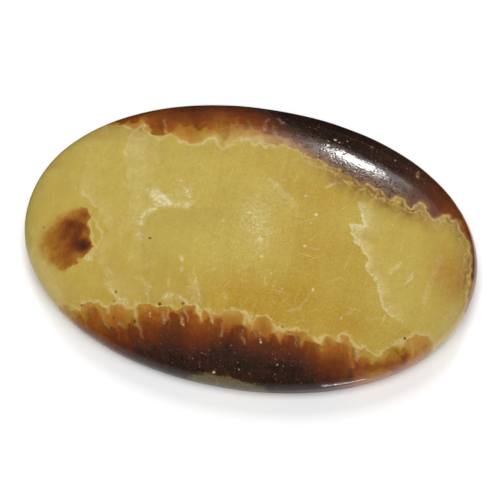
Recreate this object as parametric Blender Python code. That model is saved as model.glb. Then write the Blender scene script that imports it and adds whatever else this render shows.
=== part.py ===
"""An oval cabochon cut from banded calcite: one polished stone with a low dome and a flat back.

All sizes are in metres, with +Z up. The stone lies on its flat back. The origin is the middle of
that back, and the long axis of the oval runs along X.
"""

import math

import bmesh
import bpy
from mathutils import Vector

# The size of the stone, as a setter would measure it
LENGTH = 0.038
WIDTH = 0.026
THICKNESS = 0.0062

# The edge: how high the widest line runs above the back, and how the stone turns in under it
GIRDLE_HEIGHT = 0.0020
UNDERCUT_INSET = 0.0015
UNDERCUT_DEPTH = 1.15 * GIRDLE_HEIGHT

# The oval is a little fuller than an ellipse, whose exponent is 2
OUTLINE_EXPONENT = 2.08
# The dome is flatter on top and rounder at the shoulder than an ellipsoid, whose exponent is 2
DOME_EXPONENT = 3.0
DOME_RISE = THICKNESS - GIRDLE_HEIGHT

# How finely the solid is divided: round the oval, and from the top of the dome to its underside
STEPS_ROUND = 96
STEPS_DOWN = 44

STONE_NAME = "oval_cabochon"
STONE_COLOUR = (0.50, 0.37, 0.08, 1.0)
STONE_ROUGHNESS = 0.12
STONE_IOR = 1.58


def clear_scene():
    """Remove every object of the startup scene."""
    for obj in list(bpy.data.objects):
        bpy.data.objects.remove(obj, do_unlink=True)


def oval_point(direction_x, direction_y):
    """The point of the girdle in a direction from the centre, given as a unit vector.

    The girdle is a superellipse: |x / a| ** n + |y / b| ** n = 1.
    """
    power = 2 / OUTLINE_EXPONENT
    x = math.copysign(abs(direction_x) ** power, direction_x) * LENGTH / 2
    y = math.copysign(abs(direction_y) ** power, direction_y) * WIDTH / 2
    return x, y


def stone_point(on_sphere):
    """Where a point of the unit sphere goes on the stone.

    The sphere's equator becomes the girdle. Above it, the oval shrinks so that
    share ** DOME_EXPONENT + (rise / DOME_RISE) ** 2 = 1. Below it, the edge turns in on a
    quarter of an ellipse that is UNDERCUT_INSET wide and UNDERCUT_DEPTH high.
    """
    ring = math.hypot(on_sphere.x, on_sphere.y)
    if ring < 1e-6:
        return Vector((0, 0, GIRDLE_HEIGHT + DOME_RISE * on_sphere.z))
    if on_sphere.z >= 0:
        share = ring ** (2 / DOME_EXPONENT)
        height = GIRDLE_HEIGHT + DOME_RISE * on_sphere.z
    else:
        share = 1 - UNDERCUT_INSET / (WIDTH / 2) * (1 - ring)
        height = GIRDLE_HEIGHT + UNDERCUT_DEPTH * on_sphere.z
    x, y = oval_point(on_sphere.x / ring, on_sphere.y / ring)
    return Vector((x * share, y * share, height))


def lap_flat(mesh):
    """Grind the back flat, as on a lapping wheel: cut at z = 0 and close the cut with one face."""
    cut = bmesh.ops.bisect_plane(
        mesh,
        geom=mesh.verts[:] + mesh.edges[:] + mesh.faces[:],
        plane_co=(0, 0, 0),
        plane_no=(0, 0, -1),
        clear_outer=True,
    )
    rim = [item for item in cut["geom_cut"] if isinstance(item, bmesh.types.BMEdge)]
    bmesh.ops.contextual_create(mesh, geom=rim)
    bmesh.ops.recalc_face_normals(mesh, faces=mesh.faces)


def make_stone():
    """Shape the whole stone from a sphere, then flatten its back."""
    mesh = bmesh.new()
    bmesh.ops.create_uvsphere(mesh, u_segments=STEPS_ROUND, v_segments=STEPS_DOWN, radius=1.0)
    for vertex in mesh.verts:
        vertex.co = stone_point(vertex.co)
    lap_flat(mesh)
    data = bpy.data.meshes.new(STONE_NAME)
    mesh.to_mesh(data)
    mesh.free()
    data.shade_smooth()
    data.set_sharp_from_angle(angle=math.radians(30))
    return bpy.data.objects.new(STONE_NAME, data)


def polished_calcite():
    """The stone's average colour and polish."""
    material = bpy.data.materials.new("polished_calcite")
    material.use_nodes = True
    shader = material.node_tree.nodes["Principled BSDF"]
    shader.inputs["Base Color"].default_value = STONE_COLOUR
    shader.inputs["Roughness"].default_value = STONE_ROUGHNESS
    shader.inputs["Metallic"].default_value = 0.0
    shader.inputs["IOR"].default_value = STONE_IOR
    return material


def build():
    """Put the stone in a collection of its own."""
    clear_scene()
    collection = bpy.data.collections.new("oval_calcite_cabochon")
    bpy.context.scene.collection.children.link(collection)
    stone = make_stone()
    stone.data.materials.append(polished_calcite())
    collection.objects.link(stone)


build()
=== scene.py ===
# %% [markdown]
# This notebook dresses one stone: an oval cabochon, 38 mm long, cut from banded yellow calcite and
# polished by hand. It is a single piece, so there is a single mesh. The whole look comes from three
# things: the soft dome that the polisher left, the brown crystal layers that cross the yellow
# calcite at both sides, and the clean highlight of a small lamp on a glossy shoulder.
#
# The plain solid of the stone is loaded first. Its box is the size that the finished piece keeps.

# %% Load the frame
import math

import bpy
import numpy as np
from mathutils import Matrix, Vector


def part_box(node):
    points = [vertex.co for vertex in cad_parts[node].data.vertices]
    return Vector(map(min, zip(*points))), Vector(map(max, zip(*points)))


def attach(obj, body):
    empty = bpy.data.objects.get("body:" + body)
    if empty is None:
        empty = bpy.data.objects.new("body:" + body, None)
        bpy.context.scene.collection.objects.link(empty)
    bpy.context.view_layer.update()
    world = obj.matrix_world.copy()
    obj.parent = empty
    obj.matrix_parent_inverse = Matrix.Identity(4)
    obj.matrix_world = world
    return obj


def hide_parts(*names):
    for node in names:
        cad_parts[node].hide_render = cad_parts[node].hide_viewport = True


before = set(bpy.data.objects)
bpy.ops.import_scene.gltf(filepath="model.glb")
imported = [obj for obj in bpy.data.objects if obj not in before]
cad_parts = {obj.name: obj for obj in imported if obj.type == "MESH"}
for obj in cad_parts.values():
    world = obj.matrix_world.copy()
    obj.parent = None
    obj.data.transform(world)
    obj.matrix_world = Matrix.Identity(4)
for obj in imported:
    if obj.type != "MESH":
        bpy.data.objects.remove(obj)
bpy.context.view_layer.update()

MM = 0.001

# %% [markdown]
# The outline of the stone, seen from above, is a superellipse: |x/a|**n + |y/b|**n = 1. With n = 2
# it would be an ellipse, and a slightly larger n gives the fuller ends that hand cutting leaves.
# A curve object could draw it too, but a formula gives whole arrays of points in one line.

# %% The oval outline
low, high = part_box("oval_cabochon")
HALF_LENGTH = high.x
HALF_WIDTH = high.y
THICKNESS = high.z
OUTLINE_EXPONENT = 2.08


def oval(turn):
    """The girdle at an angle: x = a * |cos| ** (2/n) and y = b * |sin| ** (2/n), with their signs."""
    power = 2 / OUTLINE_EXPONENT
    x = HALF_LENGTH * np.sign(np.cos(turn)) * np.abs(np.cos(turn)) ** power
    y = HALF_WIDTH * np.sign(np.sin(turn)) * np.abs(np.sin(turn)) ** power
    return x, y


print("oval, mm:", round(2 * HALF_LENGTH / MM, 2), "by", round(2 * HALF_WIDTH / MM, 2))

# %% [markdown]
# The profile runs from the top of the dome, over the shoulder to the girdle, which is the widest
# line, then in under the edge and across the flat back. The dome's formula has a cube in it, which
# keeps the top nearly flat and makes the shoulder round. The corner where the edge meets the lapped
# back is rolled over a little with a moving average, as wear does it.

# %% The profile
GIRDLE_HEIGHT = 2.0 * MM
DOME_RISE = THICKNESS - GIRDLE_HEIGHT
DOME_EXPONENT = 3.0
UNDERCUT_INSET = 1.5 * MM
UNDERCUT_DEPTH = 1.15 * GIRDLE_HEIGHT
WORN_CORNER = 0.25 * MM
# How finely the curves are sampled, and how little the back counts when the rings are shared out
SAMPLES = 4000
FINE_STEP = 0.005 * MM
BACK_EFFORT = 0.25


def profile(rings):
    """Share of the oval and height, at points from the dome's top to the middle of the back.

    On the dome, share = sin ** (2 / 3) and height = girdle + rise * cos. Under the girdle,
    share = 1 - inset * (1 - cos) and height = girdle - depth * sin, a quarter of an ellipse. Steps
    are even by length, but four times as long on the back.
    """
    down = np.linspace(0, math.pi / 2, SAMPLES)
    dome = np.sin(down) ** (2 / DOME_EXPONENT), GIRDLE_HEIGHT + DOME_RISE * np.cos(down)
    under = np.linspace(0, math.asin(GIRDLE_HEIGHT / UNDERCUT_DEPTH), SAMPLES // 5)[1:]
    edge_share = 1 - UNDERCUT_INSET / HALF_WIDTH * (1 - np.cos(under))
    edge_height = GIRDLE_HEIGHT - UNDERCUT_DEPTH * np.sin(under)
    back_share = np.linspace(edge_share[-1], 0, SAMPLES)[1:]
    share = np.concatenate([dome[0], edge_share, back_share])
    height = np.concatenate([dome[1], edge_height, 0 * back_share])
    length = np.concatenate([[0], np.cumsum(np.hypot(np.diff(share) * HALF_WIDTH, np.diff(height)))])
    fine = np.arange(0, length[-1], FINE_STEP)
    share, height = np.interp(fine, length, share), np.interp(fine, length, height)
    window = np.ones(int(WORN_CORNER / FINE_STEP))
    corner = length[len(dome[0]) + len(edge_share) - 1]
    near = np.abs(fine - corner) < 2 * WORN_CORNER
    rolled = [np.convolve(values, window / len(window), "same") for values in (share, height)]
    share, height = np.where(near, rolled[0], share), np.where(near, rolled[1], height)
    effort = np.cumsum(np.where(fine > corner + 2 * WORN_CORNER, BACK_EFFORT, 1.0))
    wanted = np.linspace(effort[0], effort[-1], rings + 1)
    share, height = np.interp(wanted, effort, share), np.interp(wanted, effort, height)
    share[-1] = 0
    return share, height


# %% [markdown]
# The surface is a function of two parameters: the turn round the oval and the ring along the
# profile. Both are laid out as a grid, and the first and last rings shrink to one vertex each, so the
# mesh is closed at both poles. It is dense, because the crystal layers are stored on its vertices.

# %% The polished surface
STEPS_ROUND = 600
RINGS = 166


def grid_faces(round_steps, rings):
    """Quads between neighbouring rings, and a fan of triangles at each pole, all facing outwards."""
    here = np.arange(round_steps)
    after = (here + 1) % round_steps
    first = 1 + np.arange(rings - 2)[:, None] * round_steps
    under = first + round_steps
    quads = np.stack([first + here, under + here, under + after, first + after], -1)
    last = 1 + (rings - 2) * round_steps
    bottom = 1 + (rings - 1) * round_steps
    top_fan = np.stack([0 * here, 1 + here, 1 + after], -1)
    back_fan = np.stack([np.full(round_steps, bottom), last + after, last + here], -1)
    return quads.reshape(-1, 4), np.concatenate([top_fan, back_fan])


def stone_points(round_steps, rings):
    """Every vertex: the oval at each turn, shrunk to each ring's share and set at its height."""
    share, height = profile(rings)
    x, y = oval(np.arange(round_steps) * 2 * math.pi / round_steps)
    inner = share[1:-1, None]
    rows = np.stack([x * inner, y * inner, 0 * x + height[1:-1, None]], -1)
    return np.concatenate([[[0, 0, height[0]]], rows.reshape(-1, 3), [[0, 0, height[-1]]]])


def make_mesh(name, points, quads, triangles):
    """Put arrays of points and faces into a Blender mesh, smooth shaded."""
    mesh = bpy.data.meshes.new(name)
    mesh.from_pydata(points, [], quads.tolist() + triangles.tolist())
    mesh.validate()
    mesh.update()
    mesh.shade_smooth()
    return mesh


points = stone_points(STEPS_ROUND, RINGS)
quads, fans = grid_faces(STEPS_ROUND, RINGS)
stone_mesh = make_mesh("banded_calcite_stone", points, quads, fans)
stone = bpy.data.objects.new("banded_calcite_stone", stone_mesh)
bpy.context.scene.collection.objects.link(stone)
print("stone:", len(points), "vertices,", 2 * len(quads) + len(fans), "triangles")

# %% [markdown]
# A hand-polished stone isn't a perfect dome. The lap leaves very shallow flats a few millimetres
# wide, which make the edge of a highlight wander, and the brown crystals are softer at their joints,
# so small pits open there. Both are carved into the mesh, always inwards, so the stone keeps its
# size. The flats are a sum of slow cosine waves in random directions, from a seeded generator.

# %% Flats and pits of the hand polish
FLAT_DEPTH = 0.018 * MM
FLAT_WIDTH = 5.0 * MM
WAVES = 14
WAVE_STRENGTH = 0.35


def slow_waves(places, wavelength, seed):
    """Smooth noise from 0 to 1: the sum of cosine waves in random directions, with random phases.

    The waves are between 0.67 and 1.43 times the wavelength long. Their sum is divided by the root of
    their number, so that its strength doesn't depend on how many there are.
    """
    draw = np.random.default_rng(seed)
    directions = draw.normal(size=(WAVES, 3))
    directions /= np.linalg.norm(directions, axis=1, keepdims=True)
    spread = draw.uniform(0.7, 1.5, WAVES)[:, None]
    phases = draw.uniform(0, 2 * math.pi, WAVES)
    total = np.cos(places @ (directions * spread * 2 * math.pi / wavelength).T + phases).sum(1)
    return np.clip(0.5 + total / math.sqrt(WAVES) * WAVE_STRENGTH, 0, 1)


normals = np.empty(len(points) * 3)
stone_mesh.vertex_normals.foreach_get("vector", normals)
normals = normals.reshape(-1, 3)
hollow = FLAT_DEPTH * slow_waves(points, FLAT_WIDTH, seed=3)
print("deepest flat, mm:", round(hollow.max() / MM, 3))

# %% [markdown]
# Now the markings. The photo of such a stone is read as a map: the lines where yellow meets brown
# are written down as rows of points, in millimetres on the stone, from left to right.
# Each vertex then gets its distance beyond the line. The material turns distance into colour, and a
# distance stays smooth between vertices, so the line comes out sharp however close one looks.

# %% The lines where yellow meets brown
FAR_SEAM = [
    (-19.0, 8.6), (-14.3, 8.3), (-13.3, 7.9), (-12.3, 8.0), (-11.8, 7.7), (-11.35, 7.5), (-11.0, 7.9),
    (-10.8, 8.1), (-10.7, 8.5), (-10.66, 8.1), (-10.55, 7.6), (-10.1, 7.2), (-9.4, 7.0), (-9.0, 6.55),
    (-8.7, 7.0), (-8.3, 7.25), (-7.8, 7.1), (-7.5, 6.7), (-6.8, 6.5), (-6.2, 6.4), (-5.3, 6.8), (-5.1, 7.3),
    (-4.7, 7.6), (-4.4, 7.4), (-4.1, 6.9), (-3.7, 6.35), (-3.4, 6.7), (-3.2, 7.1), (-2.7, 7.4), (-2.2, 7.7),
    (-1.6, 7.8), (-1.15, 7.35), (-0.8, 7.9), (-0.3, 7.4), (0.2, 7.8), (0.8, 7.7), (1.4, 8.0), (2.0, 7.7),
    (2.8, 7.5), (3.5, 7.1), (4.5, 7.0), (5.0, 6.8), (5.9, 6.4), (6.3, 6.5), (6.6, 6.0), (7.3, 6.0),
    (8.0, 5.6), (8.4, 5.4), (8.9, 5.7), (9.5, 5.3), (10.1, 5.2), (10.6, 4.7), (11.0, 4.7), (11.35, 5.15),
    (11.9, 5.0), (12.1, 4.6), (12.6, 4.2), (13.0, 4.6), (13.4, 5.3), (13.9, 4.9), (14.1, 4.3), (14.6, 3.9),
    (15.0, 4.0), (15.3, 4.6), (15.7, 4.8), (16.0, 4.4), (16.4, 4.7), (16.8, 4.3), (17.2, 3.5), (17.65, 3.4),
    (18.0, 2.8), (18.32, 1.6), (18.47, 0.0), (18.5, -1.2), (18.5, -2.2), (18.55, -3.2), (18.9, -4.3),
    (19.4, -5.0),
]
NEAR_SEAM = [
    (-19.0, -7.6), (-15.5, -8.6), (-14.6, -8.75), (-13.7, -8.95), (-13.0, -9.2), (-12.4, -9.3),
    (-12.1, -8.9), (-11.0, -8.8), (-10.6, -9.0), (-10.2, -9.3), (-9.9, -8.9), (-9.3, -8.8), (-8.2, -9.05),
    (-7.9, -9.2), (-7.6, -8.8), (-7.0, -8.65), (-6.2, -8.7), (-5.4, -8.65), (-4.9, -8.65), (-4.4, -8.7),
    (-4.0, -8.35), (-3.4, -8.2), (-2.75, -8.3), (-2.5, -8.85), (-2.4, -9.1), (-2.25, -8.45), (-1.9, -8.4),
    (-1.5, -8.65), (-1.2, -8.7), (-0.8, -8.5), (-0.4, -8.3), (0.0, -8.1), (0.8, -8.05), (1.3, -8.2),
    (1.7, -8.6), (1.95, -8.7), (2.1, -8.3), (2.5, -8.1), (3.0, -8.1), (3.5, -8.4), (3.8, -8.9), (4.4, -9.1),
    (4.9, -8.8), (5.5, -8.65), (6.2, -8.6), (6.7, -8.85), (7.2, -9.1), (7.6, -9.15), (7.8, -8.7),
    (8.1, -8.5), (8.5, -8.55), (9.0, -8.85), (9.1, -8.4), (9.4, -8.1), (10.0, -8.15), (10.25, -8.8),
    (10.7, -8.9), (11.2, -8.75), (12.0, -9.1), (12.6, -8.7), (12.9, -8.2), (13.2, -8.0), (13.7, -7.8),
    (14.1, -7.4), (15.0, -6.5), (15.5, -6.4), (16.0, -6.1), (16.4, -6.2), (16.7, -6.7), (17.2, -7.6),
    (19.0, -9.0),
]


def rounded(line):
    """Cut each corner of a line of points: every straight run gives the points at 1/4 and 3/4 of it."""
    corners = np.array(line)
    runs = [0.75 * corners[:-1] + 0.25 * corners[1:], 0.25 * corners[:-1] + 0.75 * corners[1:]]
    return [tuple(corners[0]), *map(tuple, np.stack(runs, 1).reshape(-1, 2)), tuple(corners[-1])]


def distance_to_line(x, y, line):
    """Distance in millimetres from each place to the nearest straight run of a line of points."""
    nearest = np.full(len(x), np.inf)
    for (x0, y0), (x1, y1) in zip(line[:-1], line[1:]):
        along = ((x - x0) * (x1 - x0) + (y - y0) * (y1 - y0)) / ((x1 - x0) ** 2 + (y1 - y0) ** 2)
        along = np.clip(along, 0, 1)
        nearest = np.minimum(nearest, np.hypot(x - x0 - along * (x1 - x0), y - y0 - along * (y1 - y0)))
    return nearest


def depth_beyond(x, y, seam, outward):
    """Distance beyond a seam that runs to the right: positive on the outward side, +1 or -1 in y."""
    line_x, line_y = np.array(seam).T
    side = np.sign(outward * (y - np.interp(x, line_x, line_y)))
    return side * distance_to_line(x, y, seam)


# %% [markdown]
# The layers are sheets that go down into the stone, not paint on the dome. Below the girdle the map
# is therefore sheared: each millimetre further down slides it a little, so the bands lean in along
# the edge, and the back shows them in another place than the front. A little noise makes the drawn
# lines wander, as natural ones do.

# %% The map coordinates of each vertex
LAYER_LEAN = (0.35, -0.30)
WANDER = 0.25
WANDER_LENGTH = 1.0 * MM
map_x, map_y, map_z = (points / MM).T
sunk = np.clip(GIRDLE_HEIGHT / MM - map_z, 0, None)
lean_x = map_x + LAYER_LEAN[0] * sunk + WANDER * (slow_waves(points, WANDER_LENGTH, seed=21) - 0.5)
lean_y = map_y + LAYER_LEAN[1] * sunk + WANDER * (slow_waves(points, WANDER_LENGTH, seed=22) - 0.5)
far_depth = depth_beyond(lean_x, lean_y, rounded(FAR_SEAM), 1)
near_depth = depth_beyond(lean_x, lean_y, NEAR_SEAM, -1)
brown_here = (far_depth > 0) | (near_depth > 0)
print("brown share of the vertices:", round(float(brown_here.mean()), 2))

# %% [markdown]
# The crystals in each layer are columns that grew away from the yellow, side by side, leaning a
# little one way or the other. How fast the brown deepens changes along the layer, and is read from a
# few points. Where milky calcite grew between the seam and the brown, its share is stored as well,
# with the tan stain beside the far seam and the mauve bloom of tiny pits inside it, which is also a
# painted halo round the highlight on the far shoulder. Dark joints part the last few crystals of the
# near layer.

# %% Lean and tone of the two crystal layers
# Along x in millimetres: how far a column drifts towards +x for each millimetre that it runs outwards
FAR_DRIFT = [(-12, -0.35), (-2, -0.4), (0, -0.05), (12, 0.1)]
NEAR_DRIFT = [(-14, 0.6), (-8, 0.5), (-3, 0.35), (4, 0.1), (10, -0.1), (15, -0.3)]
# A line near each seam, in y, where the drift starts
FAR_BASE = 8.0
NEAR_BASE = -9.0
# Along x, the tone just inside each seam, and how much it rises with each millimetre of depth
FAR_START = [
    (-14, 0.18), (-8, 0.05), (-4.5, 0.0), (-1, 0.0), (2, 0.3), (5, 0.76), (11, 0.78), (13.5, 0.6),
    (15.5, 0.36), (18, 0.34),
]
FAR_RISE = [
    (-14, 0.15), (-4.5, 0.155), (-1, 0.17), (2, 0.26), (5, 0.08), (11, 0.03), (14, 0.05), (18, 0.08),
]
NEAR_START = [(-14, 0.07), (-7.5, 0.1), (-5, 0.2), (-2.5, 0.14), (0, 0.0), (5, 0.11), (9, 0.06), (13, 0.0)]
NEAR_RISE = [
    (-14, 0.12), (-8, 0.2), (-4, 0.19), (0, 0.28), (5, 0.27), (8, 0.27), (11, 0.19), (13, 0.05), (16, 0.06),
]
# Over how many millimetres of depth the tone just inside the seam sets in
START_DEPTH = 0.1
# Along x, the darkest tone of each layer: the far one's right end stays red-brown
FAR_DARKEST = [(-3, 0.84), (3, 0.97), (7, 0.88), (11, 0.76), (13.5, 0.66), (15.5, 0.46), (18, 0.42)]
NEAR_DARKEST = [(-10, 0.82), (8, 0.82), (12, 0.58)]
# Along x, how milky the calcite behind the far seam is, and how deep the milk reaches in millimetres
FAR_MILK = [(-7, 0.1), (-4.5, 0.35), (-3, 0.85), (0, 0.85), (1.5, 0.6), (4.5, 0.45), (7, 0.28), (17, 0.2)]
FAR_MILK_DEPTH = [(-7, 0.4), (-4, 0.7), (-1, 1.25), (3, 0.9), (6, 0.45)]
# Along x, how strong the tan stain on the yellow side of the far seam is, and how wide it reaches
FAR_STAIN = [(-13, 0.5), (-9, 0.12), (0, 0.2), (3, 0.35), (6, 1.0), (12, 1.0), (15, 0.7), (18, 0.85)]
STAIN_WIDTH = [(-13, 2.0), (3, 1.8), (8, 2.4), (13, 2.2), (18, 1.8)]
# Along y at the right end, where the stain has gone, and over how many millimetres it fades before
STAIN_END = -3.6
STAIN_FADE = 2.4
# How far the stain goes on past the seam, under the first crystals
STAIN_OVERLAP = 0.3
# Along x, how strong the mauve bloom of tiny pits, partly a painted halo of the highlight, is in the
# far layer, then how deep it reaches, and over which share of that depth it stays full
FAR_PITS_AND_PAINTED_HALO = [(-2.5, 0.0), (-1, 0.25), (1.5, 0.45), (4, 0.8), (9, 0.85), (12, 0.5), (14, 0.1), (17, 0.0)]
PITS_AND_HALO_DEPTH = 2.2
PITS_AND_HALO_PLATEAU = 0.25
# Dark joints between the last few crystals of the near layer, each a line of points
DARK_JOINTS = [
    [(10.5, -9.2), (10.7, -9.8), (10.8, -10.3), (10.4, -10.8)],
    [(13.0, -8.15), (13.5, -7.95), (13.9, -8.1)], [(14.3, -7.8), (14.6, -8.1), (14.5, -8.6)],
    [(11.1, -10.2), (12.7, -9.5), (13.9, -8.9)],
]
JOINT_DARKNESS = 0.25
JOINT_WIDTH = 0.22
# Along x, how finely the far seam is crinkled
FAR_CRINKLE = [(0, 0.2), (3, 1.0), (10, 1.0), (13, 0.5)]
NEAR_CRINKLE = 0.35


def along(x, table):
    """A value read between the points of a given table of (x, value)."""
    places, values = np.array(table, float).T
    return np.interp(x, places, values)


def tone_with_depth(depth, start, rise, darkest):
    """Tone of a layer: start * depth / START_DEPTH, up to the start, + rise * depth, up to the darkest."""
    begun = np.clip(depth / START_DEPTH, 0, 1)
    tone = along(lean_x, start) * begun + along(lean_x, rise) * depth
    return np.minimum(tone, along(lean_x, darkest))


def store(name, *columns):
    """Keep up to three numbers for each vertex as a vector attribute that the material can read."""
    vectors = np.zeros((len(points), 3), np.float32)
    vectors[:, :len(columns)] = np.stack(columns, -1)
    attribute = stone_mesh.attributes.new(name, "FLOAT_VECTOR", "POINT")
    attribute.data.foreach_set("vector", vectors.ravel())


far_out = lean_y - FAR_BASE
near_out = NEAR_BASE - lean_y
far_run = lean_x - along(lean_x, FAR_DRIFT) * far_out
near_run = lean_x - along(lean_x, NEAR_DRIFT) * near_out
far_tone = tone_with_depth(far_depth, FAR_START, FAR_RISE, FAR_DARKEST)
near_tone = tone_with_depth(near_depth, NEAR_START, NEAR_RISE, NEAR_DARKEST)
for joint in DARK_JOINTS:
    near_tone += JOINT_DARKNESS * np.exp(-(distance_to_line(lean_x, lean_y, joint) / JOINT_WIDTH) ** 2)
milk_share = np.clip(1 - np.clip(far_depth, 0, None) / along(lean_x, FAR_MILK_DEPTH), 0, 1)
stain_share = np.clip(1 + far_depth / along(lean_x, STAIN_WIDTH), 0, 1)
stain_share *= far_depth < STAIN_OVERLAP
stain_share *= np.clip((lean_y - STAIN_END) / STAIN_FADE, 0, 1)
# Share of the pits, and of the painted halo round the highlight that goes with them
pits_and_painted_halo_share = np.clip(1 + PITS_AND_HALO_PLATEAU - far_depth / PITS_AND_HALO_DEPTH, 0, 1) * along(lean_x, FAR_PITS_AND_PAINTED_HALO)
store("far_layer", far_run, far_depth, far_tone)
store("near_layer", near_run, near_depth, near_tone)
store(
    "far_side",
    milk_share * along(lean_x, FAR_MILK),
    stain_share * along(lean_x, FAR_STAIN),
    along(lean_x, FAR_CRINKLE),
)

# %% [markdown]
# The outer storey of each layer is honey-coloured. Inside it, the brown crystals begin with round
# heads, each at a height of its own. They too are listed, from left to right: the tip of the
# head, its half-width, and how much darker (or, when negative, lighter) than its neighbours it is.
# Every place belongs to the column that it lies deepest in.

# %% The brown heads
# How fast a column widens as it runs outwards, and how softly the darkness of one goes over into the next
COLUMN_WIDENS = 0.35
DARKNESS_BLUR = 0.12
FAR_HEADS = [
    (-12.7, 8.3, 0.7, 0.16), (-11.6, 8.3, 0.4, 0.1), (-9.2, 7.0, 0.65, 0.14), (-8.2, 7.4, 0.35, 0.06),
    (-7.2, 8.4, 0.6, 0.02), (-6.0, 8.1, 0.5, 0.1), (-4.9, 8.3, 0.5, 0.02), (-3.7, 7.5, 0.5, -0.08),
    (-2.9, 9.0, 0.4, -0.05), (-2.1, 8.9, 0.45, 0.06), (-1.2, 9.1, 0.4, 0.08), (-0.3, 8.8, 0.4, 0.12),
    (0.6, 8.9, 0.4, 0.16), (1.4, 8.6, 0.35, 0.2), (2.1, 8.3, 0.3, 0.22), (2.8, 8.1, 0.3, 0.22),
    (3.4, 7.7, 0.3, 0.24), (4.0, 7.5, 0.3, 0.26), (4.6, 7.3, 0.3, 0.26), (5.2, 7.1, 0.3, 0.26),
    (5.9, 6.8, 0.35, 0.26), (6.6, 6.5, 0.3, 0.26), (7.2, 6.3, 0.3, 0.26), (7.9, 6.0, 0.35, 0.24),
    (8.7, 5.9, 0.35, 0.22), (9.5, 5.7, 0.35, 0.22), (10.6, 4.8, 0.5, 0.3), (11.9, 5.4, 0.4, 0.22),
    (12.8, 5.1, 0.45, 0.16), (13.6, 5.6, 0.3, 0.14), (14.6, 4.2, 0.55, 0.14), (15.5, 4.9, 0.3, 0.06),
    (16.1, 4.5, 0.25, 0.06), (16.7, 4.9, 0.25, 0.02), (17.4, 3.8, 0.35, 0.02), (18.6, 1.6, 0.4, 0.2),
    (18.8, 0.0, 0.5, 0.2),
]
NEAR_HEADS = [
    (-13.2, -9.7, 0.6, -0.02), (-12.5, -9.7, 0.6, 0.05), (-11.4, -9.2, 0.6, 0.0), (-10.4, -9.9, 0.4, 0.05),
    (-9.5, -10.5, 0.4, 0.04), (-8.6, -10.6, 0.4, 0.02), (-7.9, -10.2, 0.3, 0.12), (-6.7, -8.9, 0.95, -0.12),
    (-5.4, -9.6, 0.3, 0.05), (-4.6, -9.0, 0.45, 0.14), (-3.4, -8.7, 0.75, 0.0), (-2.2, -9.6, 0.3, 0.12),
    (-1.7, -9.0, 0.35, 0.02), (-0.9, -8.9, 0.4, 0.06), (-0.2, -9.7, 0.3, 0.05), (0.9, -9.2, 0.8, 0.1),
    (2.2, -9.4, 0.35, 0.02), (3.0, -9.7, 0.4, 0.04), (3.9, -9.35, 0.42, 0.24), (5.3, -9.2, 0.75, 0.16),
    (7.0, -9.25, 0.85, 0.1), (8.5, -8.9, 0.45, -0.1), (9.4, -8.9, 0.75, 0.02), (10.5, -10.3, 0.35, 0.3),
    (11.5, -9.3, 0.7, -0.02), (12.6, -9.2, 0.4, -0.04), (13.7, -8.1, 0.45, 0.02), (14.5, -8.1, 0.3, 0.26),
    (15.3, -7.6, 0.5, -0.05), (16.3, -6.8, 0.5, -0.06), (12.9, -8.9, 0.45, -0.04),
]


def columns(run, out, heads, drift, base, outward):
    """Depth in a row of round-headed columns, lead over the next column, and the column's darkness.

    A column's middle line starts a half-width behind its tip, and runs outwards. The depth is the
    half-width less the distance to that line, plus COLUMN_WIDENS times the way along it, so that
    columns widen until they meet. Darkness is the mean of all, each weighing
    exp(depth / DARKNESS_BLUR).
    """
    depths = []
    for x, y, half_width, _ in heads:
        tip_out = outward * (y - base)
        tip_run = x - along(x, drift) * tip_out
        beyond = out - tip_out - half_width
        from_line = np.hypot(run - tip_run, np.minimum(beyond, 0))
        depths.append(half_width + COLUMN_WIDENS * np.maximum(beyond, 0) - from_line)
    depths = np.array(depths)
    ranked = np.sort(depths, axis=0)
    weights = np.exp((depths - ranked[-1]) / DARKNESS_BLUR)
    darkness = np.array([head[3] for head in heads]) @ weights / weights.sum(0)
    return ranked[-1], ranked[-1] - ranked[-2], darkness


store("far_heads", *columns(far_run, far_out, FAR_HEADS, FAR_DRIFT, FAR_BASE, 1))
store("near_heads", *columns(near_run, near_out, NEAR_HEADS, NEAR_DRIFT, NEAR_BASE, -1))
print("brown heads:", len(FAR_HEADS), "far and", len(NEAR_HEADS), "near")

# %% [markdown]
# Near the left end a small cluster of the same brown crystals sits alone in the yellow. Its right
# side is a row of sharp round heads, and its left side fades away. It is a closed line of points,
# and the distance into it is positive inside. A pale line of calcite skirts it at some distance.
# How dark it is inside comes from a few round heads that are added up.

# %% The lone cluster at the left
CLUSTER = [
    (-15.0, -1.2), (-14.4, -0.8), (-13.7, -0.85), (-13.3, -1.2), (-13.05, -1.8), (-13.1, -2.5),
    (-12.85, -2.85), (-12.9, -3.4), (-12.55, -3.8), (-12.25, -4.4), (-12.5, -4.95), (-12.95, -5.4),
    (-13.6, -6.0), (-14.3, -6.7), (-15.6, -6.15), (-16.7, -5.3), (-17.3, -4.2), (-17.1, -3.0),
    (-16.3, -1.9),
]
CLUSTER_SKIRT = [
    (-13.1, -1.6), (-12.5, -2.1), (-12.0, -2.9), (-11.6, -3.55), (-11.9, -4.0), (-12.05, -4.6),
    (-12.1, -5.5), (-12.5, -5.6), (-12.4, -5.0), (-12.15, -4.3), (-12.85, -3.2),
]
# Along x, where its soft left side begins, and over how many millimetres it fades
CLUSTER_FADE_X = -13.8
CLUSTER_FADE = 2.4
# Centre, radius and darkness of each round head in it
CLUSTER_HEADS = [
    (-14.6, -2.5, 0.6, 0.4), (-13.6, -2.8, 0.5, 0.34), (-13.2, -4.3, 0.6, 0.48), (-13.9, -3.6, 0.45, 0.34),
    (-13.9, -4.3, 0.5, 0.22), (-14.9, -3.4, 0.6, 0.18), (-14.4, -5.0, 0.8, 0.12), (-14.2, -6.0, 0.6, 0.1),
    (-13.6, -1.5, 0.45, 0.16), (-12.8, -4.3, 0.5, 0.2),
]


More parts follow.
